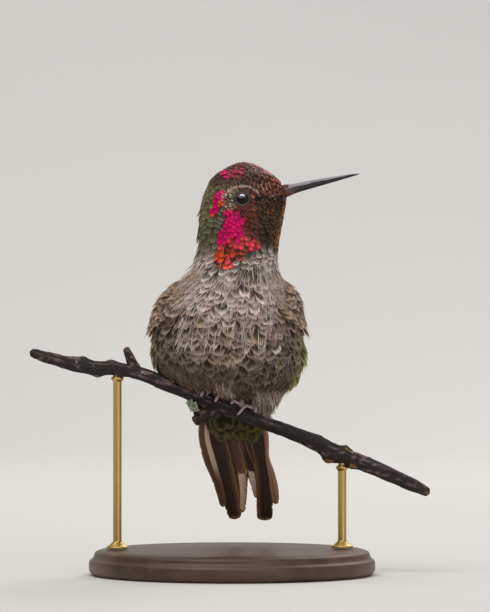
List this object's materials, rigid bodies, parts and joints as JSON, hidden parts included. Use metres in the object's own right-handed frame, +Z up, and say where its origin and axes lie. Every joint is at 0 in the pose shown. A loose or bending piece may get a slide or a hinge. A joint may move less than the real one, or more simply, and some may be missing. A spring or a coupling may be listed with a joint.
{
  "type": "perched hummingbird model on a display stand",
  "caption": "Life-size still model of a fluffed male hummingbird clinging to a slanting twig, head turned to its left, with the twig carried by two rods on a round base.",
  "frame": {"origin": "centre of the flat underside of the stand's base, on the surface it stands on", "axes": "+Z up; the bird's breast faces -Y; its left, and its bill, point to +X"},
  "size_m": [0.0951, 0.068, 0.0973],
  "materials": {
    "crown_feathers": "small scaly red-brown feathers with a metallic glint",
    "gorget_feathers": "throat and neck feathers, bronze with magenta and orange scales",
    "breast_feathers": "soft grey feathers with pale edges and a green wash",
    "covert_feathers": "green-brown feathers with buff edges",
    "flight_feathers": "smooth dusky vanes",
    "tail_feathers": "dark brown vanes with rust edges",
    "bill": "dark horn, slightly glossy",
    "eye": "wet black",
    "toes": "grey-pink scaly skin",
    "bark": "dark rough bark with lichen",
    "stand_wood": "oiled walnut",
    "stand_brass": "satin"
  },
  "bodies": {
    "root": {"head": "crown_feathers", "neck": "gorget_feathers", "trunk": "breast_feathers", "bill_upper": "bill", "bill_lower": "bill", "eye_right": "eye", "eye_left": "eye", "wing_coverts_right": "covert_feathers", "wing_primaries_right": "flight_feathers", "wing_coverts_left": "covert_feathers", "wing_primaries_left": "flight_feathers", "tail": "tail_feathers", "leg_right": "toes", "leg_left": "toes", "perch_twig": "bark", "stand_base": "stand_wood", "stand_rod_right": "stand_brass", "stand_rod_left": "stand_brass"}
  },
  "joints": []
}
